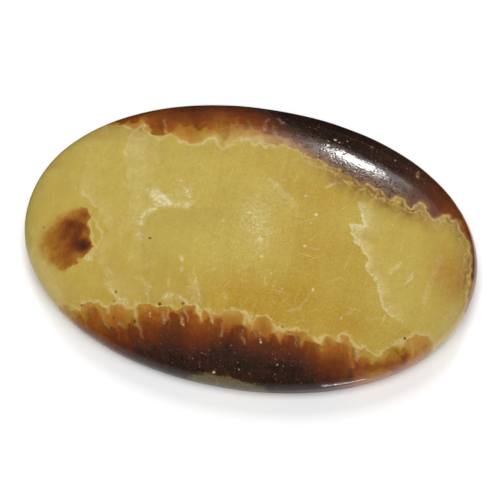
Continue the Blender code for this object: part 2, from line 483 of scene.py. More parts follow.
def inside(x, y, outline):
    """True where a place is inside a closed line of points, by counting the edges to its right."""
    crossings = np.zeros(len(x), int)
    for (x0, y0), (x1, y1) in zip(outline, outline[1:] + outline[:1]):
        spans = (y0 > y) != (y1 > y)
        meets = x0 + (y - y0) * (x1 - x0) / ((y1 - y0) or 1e-9)
        crossings += spans & (x < meets)
    return crossings % 2 == 1


def depth_inside(x, y, outline):
    """Distance into a closed line of points, negative outside it."""
    edge = distance_to_line(x, y, outline + outline[:1])
    return np.where(inside(x, y, outline), edge, -edge)


def soft_spots(x, y, ellipses):
    """Sum of soft spots, each strength * exp(-(distance / reach) ** 2), with a reach along x and y."""
    total = np.zeros(len(x))
    for centre_x, centre_y, reach_x, reach_y, strength in ellipses:
        squared = ((x - centre_x) / reach_x) ** 2 + ((y - centre_y) / reach_y) ** 2
        total += strength * np.exp(-squared)
    return total


cluster_fade = np.clip((CLUSTER_FADE_X - lean_x) / CLUSTER_FADE, 0, 1)
in_cluster = depth_inside(lean_x, lean_y, CLUSTER)
store("cluster", in_cluster, depth_inside(lean_x, lean_y, CLUSTER_SKIRT), cluster_fade)
cluster_heads = [(x, y, radius, radius, darkness) for x, y, radius, darkness in CLUSTER_HEADS]
cluster_dark = soft_spots(lean_x, lean_y, cluster_heads)

# %% [markdown]
# Healed cracks cross the yellow calcite as white veils. One kind is a sheet: it is brightest along
# its upper edge and fades to one side, and at the right it shuts off a paler, greener zone. The
# other kind is a small cloud. Sheets are stored as distances from their edge, clouds as brightness.
# Soft elliptical patches say where the calcite is golden, and where a brown tint shows through. Two
# soft lines are painted light: a pale sheen on both ends of the near rim, where light gets in from below.

# %% Veils, clouds, coloured patches and the painted rim sheen
PALE_ZONE_EDGE = [
    (10.5, 7.0), (9.6, 4.9), (8.4, 3.6), (8.7, 2.75), (9.1, 1.9), (9.3, 1.55), (8.1, 1.45), (8.2, 0.75),
    (8.6, 0.0), (9.3, -0.6), (10.0, -1.25), (10.1, -2.4), (10.7, -2.9), (11.25, -3.4), (11.5, -4.4),
    (12.0, -5.25), (12.9, -5.8), (13.7, -6.0), (14.6, -6.6), (16.0, -7.6), (19.5, -7.6), (19.5, 8.0),
]
LEFT_SHEET = [
    (-11.0, 10.0), (-11.4, 7.8), (-11.7, 6.0), (-11.4, 4.3), (-10.9, 2.6), (-10.3, 0.5), (-9.3, -2.0),
    (-8.8, -9.0),
]
OUTER_SHEET = [
    (-15.0, 9.0), (-14.8, 5.0), (-14.3, 0.5), (-12.1, -1.5), (-11.2, -3.4), (-12.0, -5.1), (-10.6, -6.7),
    (-9.7, -7.8), (-9.4, -9.0),
]
# Right of the first of these lies clean tan calcite, and right of the second the golden middle begins
CLEAN_EDGE = [
    (-3.4, 0.9), (-4.6, 0.45), (-5.9, 0.2), (-7.5, -0.2), (-8.1, -0.7), (-8.4, -1.2), (-8.7, -2.2),
    (-8.6, -3.0), (-8.2, -4.4), (-7.0, -9.0),
]
GOLDEN_EDGE = [
    (-0.6, 5.3), (0.3, 4.9), (1.1, 4.3), (2.1, 3.5), (3.1, 2.7), (3.7, 2.2), (3.75, 1.0), (3.8, -0.1),
    (4.0, -1.9), (3.4, -9.0),
]
# From a point, to a point, half-width in millimetres, and brightness
CLOUDS = [
    (-8.3, 1.1, -7.6, 0.4, 0.42, 0.8), (-7.9, 1.0, -6.9, 0.4, 0.32, 0.65),
    (-8.1, -0.2, -8.8, -1.0, 0.25, 0.65), (-8.8, -1.0, -8.9, -1.9, 0.24, 0.5),
    (-8.8, -2.75, -8.4, -3.1, 0.26, 0.5), (-6.2, 0.45, -5.3, 0.5, 0.28, 0.55),
    (-5.3, 0.6, -4.9, 1.0, 0.22, 0.45), (-5.5, 1.4, -5.6, 2.1, 0.22, 0.55),
    (-6.6, 1.2, -6.0, 1.8, 0.7, 0.18), (-9.6, -0.4, -9.9, -2.2, 0.55, 0.16),
    (0.3, 0.9, 1.0, -1.2, 1.2, 0.3), (0.9, 3.6, 2.4, 2.8, 0.7, 0.16), (8.9, 3.0, 9.3, 2.0, 0.55, 0.34),
    (8.6, 1.1, 9.0, 0.1, 0.55, 0.3), (9.6, -0.7, 10.1, -1.8, 0.45, 0.16),
    (10.9, -3.0, 11.5, -4.2, 0.4, 0.14), (-5.5, -8.15, -4.2, -8.0, 0.3, 0.15),
    (-10.5, -7.4, -10.0, -7.9, 0.26, 0.45), (-12.5, -5.3, -12.5, -5.2, 0.26, 0.9),
    (-10.9, 6.8, -10.2, 5.0, 0.8, 0.12), (-3.6, -6.2, -3.1, -7.9, 0.5, 0.22),
    (9.5, -8.5, 9.8, -8.5, 0.4, 0.35),
]
# Painted light: a smooth pale sheen on the rims at both ends of the near side, written in the same way
PAINTED_RIM_SHEEN_LINES = [(16.9, -6.2, 18.4, -2.6, 0.75, 0.42), (-17.6, -4.8, -14.4, -8.9, 0.75, 0.58)]
# Centre, reach along x and y in millimetres, and strength of each patch
GOLDEN_PATCHES = [
    (6.5, -1.5, 4.0, 4.5, 0.72), (1.0, -6.5, 7.5, 2.2, 1.0), (6.0, 4.2, 3.6, 1.8, 0.9),
    (10.5, -7.0, 3.2, 1.3, 0.6), (16.8, 0.5, 1.5, 3.0, 0.9), (-9.0, -6.5, 3.0, 1.2, 0.25),
    (-2.0, 5.5, 4.0, 1.3, 0.35), (-13.5, -4.8, 3.2, 2.8, 0.6), (9.6, -1.8, 1.8, 3.0, 0.4),
]
TINT_PATCHES = [
    (16.8, -1.0, 1.6, 2.2, 0.58), (15.6, 1.4, 1.4, 1.4, 0.12), (-17.3, 3.6, 0.8, 0.6, 0.25),
    (-14.4, 6.7, 1.2, 0.6, 0.25), (-10.65, 7.7, 0.4, 0.5, 0.9), (14.0, 3.4, 1.2, 0.5, 0.3),
]


def distance_right_of(x, y, sheet):
    """Distance from a sheet that runs downwards: positive to the right of it, negative to its left."""
    line_x, line_y = np.array(sheet)[::-1].T
    side = np.sign(x - np.interp(y, line_y, line_x))
    return side * distance_to_line(x, y, sheet)


def cloud_brightness(x, y, clouds):
    """Sum of soft lines, each brightness * exp(-(distance / half-width) ** 2)."""
    total = np.zeros(len(x))
    for x0, y0, x1, y1, half_width, brightness in clouds:
        apart = distance_to_line(x, y, [(x0, y0), (x1, y1)])
        total += brightness * np.exp(-(apart / half_width) ** 2)
    return total


store(
    "veils",
    distance_right_of(lean_x, lean_y, LEFT_SHEET),
    distance_right_of(lean_x, lean_y, OUTER_SHEET),
    depth_inside(lean_x, lean_y, PALE_ZONE_EDGE),
)
store(
    "borders",
    distance_right_of(lean_x, lean_y, CLEAN_EDGE),
    distance_right_of(lean_x, lean_y, GOLDEN_EDGE),
    pits_and_painted_halo_share,
)
patches = [np.clip(soft_spots(lean_x, lean_y, rows), 0, 1) for rows in (GOLDEN_PATCHES, TINT_PATCHES)]
store("tints", cluster_dark, *patches)

# %% [markdown]
# Last come the smallest marks that the eye still finds: bright cracks and flecks in the yellow, and
# the cream calcite that fills the notches between the brown heads. Each is a short stroke or a spot.
# A stroke is stored as a tent, highest along its middle and zero at its reach, because a tent stays
# smooth between the vertices even where it is narrow. The white and dark spots and the painted glints
# are smaller still. They are only listed here, and the material draws each one at its height on the dome.

# %% Strokes and spots
# A stroke is from a point, to a point, with a reach and a strength. A spot is a point with the same.
WHITE_STROKES = [
    (-8.5, 1.3, -8.0, 1.4, 0.2, 0.7), (-8.0, 1.4, -6.7, 0.35, 0.2, 0.8), (-7.5, 0.05, -6.7, 0.3, 0.2, 0.8),
    (-8.4, 1.2, -8.0, 0.0, 0.18, 0.6), (-8.0, -0.25, -8.75, -0.9, 0.18, 0.6),
    (-8.75, -0.9, -8.9, -1.9, 0.18, 0.6), (-8.7, 4.3, -8.7, 4.1, 0.22, 0.7),
    (-11.7, 5.0, -11.6, 4.5, 0.18, 0.6), (-5.5, 1.5, -5.6, 2.1, 0.18, 0.5),
    (-4.95, -4.3, -4.85, -4.5, 0.3, 1.0), (-4.7, -5.4, -4.7, -5.6, 0.22, 0.8),
    (-5.5, -6.4, -5.4, -6.9, 0.18, 0.7), (-15.0, 5.75, -14.6, 4.9, 0.17, 0.4),
    (-13.25, 5.3, -13.25, 4.6, 0.17, 0.4), (-15.4, 1.6, -14.9, 0.9, 0.17, 0.4),
    (-11.1, 2.0, -10.5, 1.1, 0.18, 0.5), (-11.3, 7.6, -11.65, 6.3, 0.18, 0.5),
    (-11.65, 6.3, -11.7, 4.9, 0.16, 0.4), (-10.6, -6.25, -10.0, -6.6, 0.18, 0.6),
    (-8.25, -6.6, -7.1, -7.0, 0.2, 0.7), (-7.1, -7.0, -6.8, -8.5, 0.2, 0.7),
    (-7.5, -6.7, -7.2, -7.8, 0.18, 0.5), (-10.0, -8.0, -9.3, -8.3, 0.2, 0.8),
    (-9.3, -8.3, -8.5, -8.7, 0.2, 0.8), (-14.3, 0.6, -13.9, 0.1, 0.18, 0.7),
    (-13.9, 0.1, -13.0, -0.6, 0.18, 0.7), (-13.0, -0.6, -11.4, -1.7, 0.18, 0.45),
    (5.45, 4.6, 5.8, 4.85, 0.3, 1.0), (5.9, 4.9, 6.9, 5.3, 0.2, 0.7), (5.1, 1.75, 5.1, 1.6, 0.26, 0.9),
    (6.2, -5.1, 5.75, -6.25, 0.17, 0.6), (5.75, -6.25, 5.25, -7.1, 0.17, 0.6),
    (5.25, -7.1, 4.6, -7.3, 0.17, 0.6), (2.1, -4.9, 2.4, -5.5, 0.17, 0.6),
    (0.2, -5.4, 0.8, -5.4, 0.16, 0.35), (-0.9, -6.6, -0.5, -7.6, 0.18, 0.35),
    (5.6, -1.6, 6.0, -1.4, 0.17, 0.6), (3.0, -6.6, 3.9, -7.1, 0.2, 0.25),
    (0.8, -7.4, 0.8, -7.8, 0.18, 0.35), (-3.75, -4.9, -3.25, -6.25, 0.17, 0.5),
    (-3.25, -6.25, -2.6, -7.9, 0.2, 0.7), (8.4, 3.6, 8.7, 2.75, 0.2, 0.7), (8.4, 3.6, 9.1, 3.1, 0.17, 0.5),
    (8.7, 2.75, 9.1, 1.9, 0.18, 0.6), (8.1, 1.45, 9.2, 1.6, 0.18, 0.6),
    (12.75, -1.1, 12.0, -2.25, 0.17, 0.9), (13.9, -1.6, 13.5, -2.75, 0.17, 0.9),
    (9.5, -6.2, 8.9, -7.0, 0.18, 0.6), (11.0, -6.6, 12.3, -6.1, 0.2, 0.3),
    (15.9, 0.7, 15.5, -1.6, 0.35, 0.5), (15.5, -1.6, 15.2, -3.8, 0.35, 0.5),
    (-5.7, -8.0, -4.8, -7.45, 0.2, 0.7), (-4.8, -7.45, -3.9, -8.0, 0.2, 0.7),
    (-3.9, -8.0, -2.7, -8.4, 0.22, 0.9), (-15.0, -7.6, -14.3, -8.2, 0.35, 0.5),
]
WHITE_SPOTS = [
    (-6.8, 0.4, 0.25, 1.5), (-6.4, 2.7, 0.16, 1.1), (-9.55, 0.6, 0.14, 0.8), (-8.9, 1.4, 0.14, 0.8),
    (4.9, 0.85, 0.14, 0.9), (4.8, -1.4, 0.18, 1.6), (5.2, 1.7, 0.17, 1.6), (4.0, 3.3, 0.15, 1.0),
    (1.55, -3.05, 0.19, 1.3), (1.15, -1.5, 0.24, 1.8), (-0.3, 0.8, 0.16, 1.4), (0.25, 0.5, 0.15, 1.0),
    (-0.4, -3.5, 0.15, 0.9), (2.6, -4.4, 0.14, 0.9), (6.2, -5.1, 0.15, 1.0), (-2.2, -0.4, 0.15, 1.0),
    (0.6, -0.2, 0.13, 0.9), (1.2, 0.2, 0.13, 0.9), (-0.7, 0.1, 0.12, 0.8), (0.1, -0.9, 0.12, 0.8),
    (1.9, -0.7, 0.12, 0.8), (3.75, -5.6, 0.13, 0.8), (3.0, -5.5, 0.13, 0.8), (8.9, 1.1, 0.16, 0.8),
    (11.5, 2.25, 0.14, 0.6), (17.75, 1.25, 0.18, 1.6), (8.9, -7.0, 0.15, 0.7),
]
CREAM_STROKES = [
    (-9.3, -8.85, -8.1, -9.1, 0.2, 0.9), (-10.5, -8.9, -9.9, -9.6, 0.24, 0.7),
    (-10.3, -10.0, -9.7, -10.6, 0.18, 0.6), (-7.85, -8.7, -7.6, -9.8, 0.24, 0.8),
    (-7.6, -9.8, -7.3, -10.4, 0.2, 0.45), (-7.3, -10.4, -6.6, -11.15, 0.16, 0.4),
    (-8.9, -10.3, -8.5, -10.6, 0.18, 0.4), (-5.45, -9.2, -5.2, -9.9, 0.2, 0.5),
    (-5.05, -8.9, -5.0, -9.5, 0.17, 0.5), (-3.8, -8.6, -3.2, -9.5, 0.17, 0.6),
    (-3.85, -9.4, -3.65, -9.95, 0.17, 0.7), (-2.75, -8.3, -2.5, -8.95, 0.2, 1.0),
    (-2.4, -8.95, -2.2, -9.3, 0.2, 0.7), (-1.75, -8.6, -1.3, -9.3, 0.2, 0.9),
    (-0.45, -9.4, -0.35, -10.3, 0.16, 0.5), (1.2, -8.1, 1.4, -8.9, 0.3, 0.9),
    (1.65, -8.1, 1.8, -8.8, 0.24, 0.8), (1.9, -8.9, 2.0, -9.4, 0.18, 0.6),
    (1.2, -9.7, 1.5, -10.5, 0.16, 0.45), (2.75, -9.4, 2.85, -10.1, 0.18, 0.6),
    (2.35, -9.3, 2.4, -9.9, 0.16, 0.4), (3.75, -8.95, 4.2, -8.75, 0.42, 1.0),
    (4.2, -8.75, 4.55, -9.0, 0.3, 0.9), (4.2, -9.3, 4.4, -9.9, 0.17, 0.4),
    (5.6, -9.3, 5.8, -9.9, 0.17, 0.4), (6.2, -9.1, 6.25, -9.6, 0.17, 0.4),
    (7.0, -9.1, 7.7, -9.35, 0.2, 0.9), (7.7, -9.35, 7.6, -8.9, 0.18, 0.7),
    (7.6, -8.9, 8.0, -8.55, 0.18, 0.7), (5.0, -9.2, 5.4, -9.15, 0.2, 0.5),
    (9.15, -8.9, 9.1, -8.3, 0.2, 0.8), (9.1, -8.3, 9.4, -8.1, 0.18, 0.7),
    (9.4, -8.1, 10.0, -8.15, 0.18, 0.7), (10.0, -8.15, 10.2, -8.7, 0.2, 0.8),
    (10.6, -8.9, 10.8, -9.7, 0.22, 0.8), (10.2, -8.9, 11.2, -8.75, 0.2, 0.9),
    (13.6, -7.7, 14.0, -7.3, 0.24, 0.8), (14.8, -7.2, 15.1, -7.9, 0.18, 0.7),
    (14.0, -7.3, 15.0, -6.4, 0.24, 0.8), (15.0, -6.4, 16.3, -6.0, 0.22, 0.6),
    (16.3, -6.0, 16.8, -6.9, 0.35, 0.8), (-11.35, 7.4, -11.05, 8.1, 0.2, 0.55),
    (-11.05, 8.1, -10.7, 9.3, 0.16, 0.3), (-10.5, 8.0, -10.05, 7.4, 0.16, 0.4),
    (-9.4, 7.0, -9.0, 6.55, 0.22, 0.9), (-9.0, 6.55, -8.6, 7.1, 0.22, 0.9),
    (-8.6, 7.1, -8.35, 7.25, 0.22, 0.8), (-9.15, 9.0, -8.6, 7.4, 0.17, 0.6),
    (-7.8, 7.1, -7.4, 6.7, 0.18, 0.7), (-7.4, 6.7, -6.2, 6.4, 0.22, 0.9),
    (-6.2, 6.4, -5.3, 6.85, 0.24, 0.9), (-5.2, 6.95, -4.7, 7.6, 0.34, 1.0),
    (-4.7, 7.6, -4.2, 7.0, 0.24, 0.9), (-4.2, 7.0, -3.7, 6.4, 0.24, 0.8), (-3.7, 6.4, -3.2, 7.1, 0.24, 0.8),
    (-3.2, 7.1, -2.7, 7.4, 0.24, 0.8), (-3.2, 10.3, -3.1, 9.3, 0.18, 0.25),
    (-2.3, 10.2, -1.7, 9.2, 0.18, 0.35), (-0.72, 10.6, -0.65, 9.2, 0.18, 0.5),
    (0.0, 9.9, 0.15, 9.1, 0.18, 0.4), (0.35, 11.0, 0.6, 10.4, 0.18, 0.45), (0.45, 9.2, 0.4, 8.9, 0.18, 0.5),
    (12.6, 8.7, 12.65, 7.7, 0.2, 0.45), (11.0, 4.8, 11.35, 5.15, 0.2, 0.5),
    (12.0, 4.7, 12.6, 4.2, 0.24, 0.6), (13.3, 5.1, 13.9, 4.9, 0.26, 0.7), (15.3, 4.6, 15.8, 4.8, 0.24, 0.6),
    (16.2, 4.2, 16.4, 4.8, 0.22, 0.6), (1.5, 6.2, 2.8, 6.8, 0.22, 0.35), (2.8, 6.8, 4.0, 6.45, 0.22, 0.4),
    (4.0, 6.45, 5.1, 6.4, 0.24, 0.45), (5.1, 6.4, 6.9, 5.8, 0.22, 0.4), (17.9, 2.8, 18.25, 1.4, 0.3, 0.6),
    (18.25, 1.4, 18.4, -1.5, 0.24, 0.5),
]
CREAM_SPOTS = [
    (-6.5, -9.5, 0.2, 1.0), (-5.2, -9.8, 0.24, 0.8), (-10.25, -10.05, 0.22, 0.6), (-12.2, -8.6, 0.4, 0.5),
    (-1.35, -9.25, 0.22, 0.8), (2.85, -10.05, 0.18, 0.9), (-1.15, 7.6, 0.42, 0.9), (-2.4, 7.9, 0.5, 0.6),
    (-1.8, 8.3, 0.4, 0.5), (-0.9, 8.4, 0.45, 0.6), (-0.3, 7.6, 0.34, 0.8), (0.8, 8.6, 0.36, 0.6),
    (0.4, 7.6, 0.34, 0.6), (0.65, 10.5, 0.18, 0.7), (5.3, 9.75, 0.18, 0.9), (8.3, 9.9, 0.4, 0.15),
    (12.65, 8.0, 0.2, 0.5), (6.2, 6.55, 0.34, 0.7), (-11.0, 9.2, 0.2, 0.4),
]


def tents(x, y, strokes, spots=()):
    """The highest tent at each place: strength * (1 - distance / reach), over all strokes and spots."""
    highest = np.zeros(len(x))
    for x0, y0, x1, y1, reach, strength in strokes:
        apart = distance_to_line(x, y, [(x0, y0), (x1, y1)])
        highest = np.maximum(highest, strength * (1 - apart / reach))
    for x0, y0, reach, strength in spots:
        highest = np.maximum(highest, strength * (1 - np.hypot(x - x0, y - y0) / reach))
    return highest


store(
    "marks",
    tents(lean_x, lean_y, WHITE_STROKES),
    tents(lean_x, lean_y, CREAM_STROKES, CREAM_SPOTS),
    cloud_brightness(lean_x, lean_y, CLOUDS),
)
# Small dark specks
DARK_SPOTS = [
    (-16.9, -2.75, 0.13, 1.1), (-7.8, -3.05, 0.15, 2.2), (-7.8, -0.85, 0.11, 0.6), (-9.6, -8.0, 0.15, 1.1),
    (-5.8, -8.55, 0.19, 1.3), (-3.95, -8.25, 0.17, 1.2), (14.2, -7.1, 0.16, 1.5), (-12.3, -9.1, 0.17, 0.9),
    (-9.4, -9.9, 0.17, 0.8), (-7.6, -10.1, 0.22, 1.2), (-9.6, -8.75, 0.19, 0.6), (4.4, -8.7, 0.14, 0.8),
]
# Small painted glints in the brown: pale spots where tiny faces catch the light
PAINTED_GLINT_SPOTS = [
    (5.3, 9.7, 0.13, 1.6), (4.8, 9.4, 0.1, 0.9), (5.7, 9.5, 0.1, 0.9), (6.3, 9.9, 0.1, 0.8),
    (8.4, 10.0, 0.1, 0.6), (10.5, 9.1, 0.1, 0.7), (12.6, 8.0, 0.15, 0.9), (-6.4, -9.6, 0.1, 0.9),
    (-5.1, -10.0, 0.09, 0.7), (-3.6, -9.9, 0.1, 0.7), (2.9, -10.2, 0.12, 1.1), (4.5, -11.5, 0.1, 0.8),
    (5.0, -11.5, 0.08, 0.7), (2.4, -12.4, 0.09, 0.7), (4.4, -12.1, 0.08, 0.6), (1.5, -12.3, 0.09, 0.8),
    (-0.5, -12.7, 0.16, 1.6),
]
SPOTS = WHITE_SPOTS, CREAM_SPOTS, DARK_SPOTS, PAINTED_GLINT_SPOTS
print("strokes:", len(WHITE_STROKES) + len(CREAM_STROKES), "and spots:", sum(map(len, SPOTS)))

# %% [markdown]
# On the near edge a tongue of olive calcite comes up from the back. It is a soft shape whose middle
# leans and whose width shrinks with height, and it fades above its tip and away from the edge. Its
# share is stored together with that of the painted sheen on the rims.

# %% The olive tongue and the painted rim sheen
# In millimetres along x, z and y. The lean and the narrowing are per millimetre of height.
OLIVE_MIDDLE = 0.5
OLIVE_LEAN = -0.45
OLIVE_HALF_WIDTH = 4.2
OLIVE_NARROWING = 0.5
OLIVE_HEIGHT = 2.05
OLIVE_FADE = 0.9
OLIVE_INNER_END = -11.3
olive_x = map_x - OLIVE_MIDDLE - OLIVE_LEAN * (map_z - OLIVE_HEIGHT)
across = (olive_x / (OLIVE_HALF_WIDTH - OLIVE_NARROWING * map_z)) ** 2
across += (np.maximum(map_z - OLIVE_HEIGHT, 0) / OLIVE_FADE) ** 2
across += (np.maximum(map_y - OLIVE_INNER_END, 0) / OLIVE_FADE) ** 2
olive_here = np.exp(-across ** 2)
store("olive_and_rim_sheen", olive_here, cloud_brightness(lean_x, lean_y, PAINTED_RIM_SHEEN_LINES))
print("olive share of the vertices:", round(float((olive_here > 0.5).mean()), 4))

# %% [markdown]
# The carving is put into the mesh now that the markings are stored, so it can't shift them. A few
# dozen pits go into the brown layers only.

# %% Carve the flats and the pits
PITS = 60
PIT_RADIUS = (0.12 * MM, 0.32 * MM)
PIT_DEPTH = 0.07
# How far inside each layer they begin, in millimetres, and what counts as the back
FAR_PITS_FROM = 0.2
NEAR_PITS_FROM = 1.0
BACK_HEIGHT = 0.02 * MM


def pit_hollows(places, dark):
    """Depth of the pits at each vertex, as round bowls.

    Each bowl is PIT_DEPTH * radius * (1 - (distance / radius) ** 2) ** 2 deep.
    """
    draw = np.random.default_rng(11)
    centres = places[draw.choice(np.flatnonzero(dark), PITS, replace=False)]
    radii = draw.uniform(*PIT_RADIUS, PITS)
    total = np.zeros(len(places))
    for centre, radius in zip(centres, radii):
        inside_bowl = np.clip(1 - ((places - centre) ** 2).sum(1) / radius ** 2, 0, 1)
        total = np.maximum(total, PIT_DEPTH * radius * inside_bowl ** 2)
    return total


in_brown = (far_depth > FAR_PITS_FROM) | (near_depth > NEAR_PITS_FROM)
pitted = in_brown & (map_z > GIRDLE_HEIGHT / MM)
hollow += pit_hollows(points, pitted)
on_back = points[:, 2] < BACK_HEIGHT
carved = points - normals * np.where(on_back, 0, hollow)[:, None]
carved[:, 2] = np.clip(carved[:, 2], 0, None)
stone_mesh.vertices.foreach_set("co", carved.astype(np.float32).ravel())
stone_mesh.update()
print("deepest hollow, mm:", round(hollow.max() / MM, 3))

# %% [markdown]
# The material is a recipe of nodes, and small helpers keep it readable. One adds a node and joins its
# inputs, four do arithmetic, and one turns a number into a soft step between two limits. Colours
# are written as they should look on a screen, 0 to 255, and turned into the linear values that
# Blender wants. The lamps light a surface a third more than fully, to turn the table pure white, so
# each colour is divided by that gain.

# %% Helpers for the recipe
finish = bpy.data.materials.new("polished_banded_calcite")
finish.use_nodes = True
recipe = finish.node_tree
recipe.nodes.clear()


def add(kind, inputs=None, output=0, **settings):
    """Add a node, set its settings, then set each input to a number or colour, or join it to a socket."""
    node = recipe.nodes.new("ShaderNode" + kind)
    for name, value in settings.items():
        setattr(node, name, value)
    for name, value in (inputs or {}).items():
        if isinstance(value, bpy.types.NodeSocket):
            recipe.links.new(value, node.inputs[name])
        else:
            node.inputs[name].default_value = value
    return node.outputs[output]


def sums(operation, first, second=0.0, third=0.0):
    """One step of arithmetic on numbers or sockets."""
    return add("Math", {0: first, 1: second, 2: third}, operation=operation)


def times(product, *factors):
    """The product of numbers or sockets."""
    for factor in factors:
        product = sums("MULTIPLY", product, factor)
    return product


def plus(total, *terms):
    """The sum of numbers or sockets."""
    for term in terms:
        total = sums("ADD", total, term)
    return total


def times_plus(value, factor, term):
    """A value times a factor, plus a term."""
    return sums("MULTIPLY_ADD", value, factor, term)


def soft_step(value, start, end, low=0.0, high=1.0):
    """A smooth change from low to high while value goes from start to end."""
    return add("MapRange", {
        "Value": value, "From Min": start, "From Max": end, "To Min": low, "To Max": high,
    }, interpolation_type="SMOOTHSTEP")


LAMP_GAIN = 1.33


def screen(red, green, blue):
    """A colour as it is seen, 0 to 255, as linear red, green, blue and alpha, less the lamps' gain."""
    return tuple((part / 255) ** 2.2 / LAMP_GAIN for part in (red, green, blue)) + (1.0,)


def blend(share, first, second, way="MIX"):
    """Mix two colours; share 0 gives the first and 1 the second."""
    inputs = {0: share, 6: first, 7: second}
    return add("Mix", inputs, 2, data_type="RGBA", blend_type=way, clamp_factor=True)


def grain(vector, scale, detail=2.0, roughness=0.5):
    """Cloudy noise from 0 to 1, scale times a millimetre."""
    return add("TexNoise", {"Vector": vector, "Scale": scale, "Detail": detail, "Roughness": roughness})


def split(vector):
    """The three numbers of a vector."""
    node = recipe.nodes.new("ShaderNodeSeparateXYZ")
    recipe.links.new(vector, node.inputs[0])
    return node.outputs[0], node.outputs[1], node.outputs[2]


def stretched(vector, x, y, z):
    """A vector with each number multiplied, to draw a pattern out along one way."""
    return add("VectorMath", {0: vector, 1: (x, y, z)}, operation="MULTIPLY")


def stored(name):
    """A vector that was stored for each vertex."""
    return add("Attribute", {}, output=1, attribute_name=name)


# The place on the stone in millimetres
place = stretched(add("TexCoord", {}, output=3), 1 / MM, 1 / MM, 1 / MM)
place_x, place_y, place_z = split(place)

# %% [markdown]
# The yellow calcite. Real calcite like this is nearly even from a step away, and full of small
# things up close: pale and golden patches, a fine grain, hair-thin polish scratches, tiny bright
# flecks, and the broken lines of healed cracks. Noise of several sizes makes the grain. Flecks and
# scratches come from a Voronoi pattern, where each cell holds one mark: round as it is, or drawn out
# into a scratch when the pattern is stretched. Crack lines are where a noise crosses its middle.

# %% Noises and small marks
slow = grain(place, 0.16, 3.0)
middling = grain(place, 0.9, 4.0, 0.6)
mottle = grain(place, 2.1, 3.0, 0.6)
fine = grain(place, 4.5, 4.0, 0.65)
dust = grain(place, 7.5, 2.0, 0.6)
growth = grain(stretched(place, 2.2, 0.28, 0.6), 1.0, 3.0)
NOISE_MIDDLE = 0.48


def around(value, *noises):
    """Value plus noises, given as (noise, amount): each is taken about its middle, times its amount."""
    for noise, amount in noises:
        value = times_plus(sums("SUBTRACT", noise, NOISE_MIDDLE), amount, value)
    return value


def broken(share, noise, start, end, low, high):
    """A share broken up by a noise: times low where the noise is under start, and high past end."""
    return times(share, soft_step(noise, start, end, low, high))


def band(distance, opens, closes, full=1.0, rest=0.0):
    """A stripe along a line: it opens between two distances, and goes from full to rest between two."""
    return times(soft_step(distance, *opens), soft_step(distance, *closes, full, rest))


def flecks(per_mm, size, share):
    """Round flecks of a size in cells: one in some of the cells of a Voronoi pattern, some brighter."""
    cells = {"Vector": place, "Scale": per_mm}
    chance = split(add("TexVoronoi", cells, 1))[0]
    round_marks = soft_step(add("TexVoronoi", cells, 0), 0.4 * size, size, 1.0, 0.0)
    return times(round_marks, soft_step(chance, 1.0 - share, 1.0))


def scratches(turn, length, per_mm, share):
    """Straight scratches: flecks of a flat Voronoi pattern, turned and stretched to their length."""
    turned = add("VectorRotate", {"Vector": place, "Angle": turn}, rotation_type="Z_AXIS")
    cells = {"Vector": stretched(turned, 1 / length, per_mm, 1.0), "Scale": 1.0}
    chance = split(add("TexVoronoi", cells, 1, voronoi_dimensions="2D"))[1]
    long_marks = soft_step(add("TexVoronoi", cells, 0, voronoi_dimensions="2D"), 0.04, 0.15, 1.0, 0.0)
    return times(long_marks, soft_step(chance, 1.0 - share, 1.0))


def crack_lines(noise, width):
    """Thin lines where a noise crosses its middle: one minus the distance from the middle, over a width."""
    return soft_step(sums("ABSOLUTE", sums("SUBTRACT", noise, 0.5)), 0.0, width, 1.0, 0.0)


# %% [markdown]
# The small spots are drawn here and not on the vertices, because a spot of a tenth of a millimetre
# is narrower than the mesh is fine. Each is a tent over the distance from a point of the dome,
# measured in all three directions, so that a spot near the edge doesn't run down the side.

# %% Spots on the dome
SPOT_SHAKE = 0.26
SPOT_SHAKE_SCALE = 6.0
SPOT_MOST = 0.85


def dome_height(x, y):
    """Height of the dome above a place, in millimetres: girdle + rise * sqrt(1 - share ** 3)."""
    power = abs(x * MM / HALF_LENGTH) ** OUTLINE_EXPONENT + abs(y * MM / HALF_WIDTH) ** OUTLINE_EXPONENT
    share = min(power, 1) ** (1 / OUTLINE_EXPONENT)
    return (GIRDLE_HEIGHT + DOME_RISE * math.sqrt(1 - share ** DOME_EXPONENT)) / MM


def drawn_spots(spots):
    """The highest tent at each place over all spots, with uneven outlines, up to SPOT_MOST.

    A tent is the spot's strength at its middle, and falls to zero at its reach. The noise that shakes
    the outlines lies about a half, so the middles are moved by half of the shake as well.
    """
    shaken = add("TexNoise", {"Vector": place, "Scale": SPOT_SHAKE_SCALE, "Detail": 2.0}, 1)
    shake = (SPOT_SHAKE, SPOT_SHAKE, 0.0)
    uneven = add("VectorMath", {0: shaken, 1: shake, 2: place}, operation="MULTIPLY_ADD")
    highest = 0.0
    for x, y, reach, strength in spots:
        middle = (x + SPOT_SHAKE / 2, y + SPOT_SHAKE / 2, dome_height(x, y))
        apart = add("VectorMath", {0: uneven, 1: middle}, 1, operation="DISTANCE")
        highest = sums("MAXIMUM", highest, times_plus(apart, -strength / reach, strength))
    return sums("MINIMUM", highest, SPOT_MOST)


# %% [markdown]
# The colours go on from the broadest to the smallest. First comes the yellow, with its golden, tan
# and pale parts. The stored numbers are read back here under the names that they were stored with,
# and each is now a socket, a wire that carries one number for every place on the stone.

# %% The yellow calcite
LEMON = screen(195, 172, 87)
HONEY = screen(184, 148, 58)
PALE = screen(196, 172, 88)
TAN = screen(184, 160, 80)
MILK = screen(226, 212, 166)
STAIN = screen(138, 100, 50)
TINT = screen(170, 112, 50)
OLIVE = screen(124, 110, 72)
CREAM = screen(217, 192, 128)
SPECK = screen(62, 58, 16)

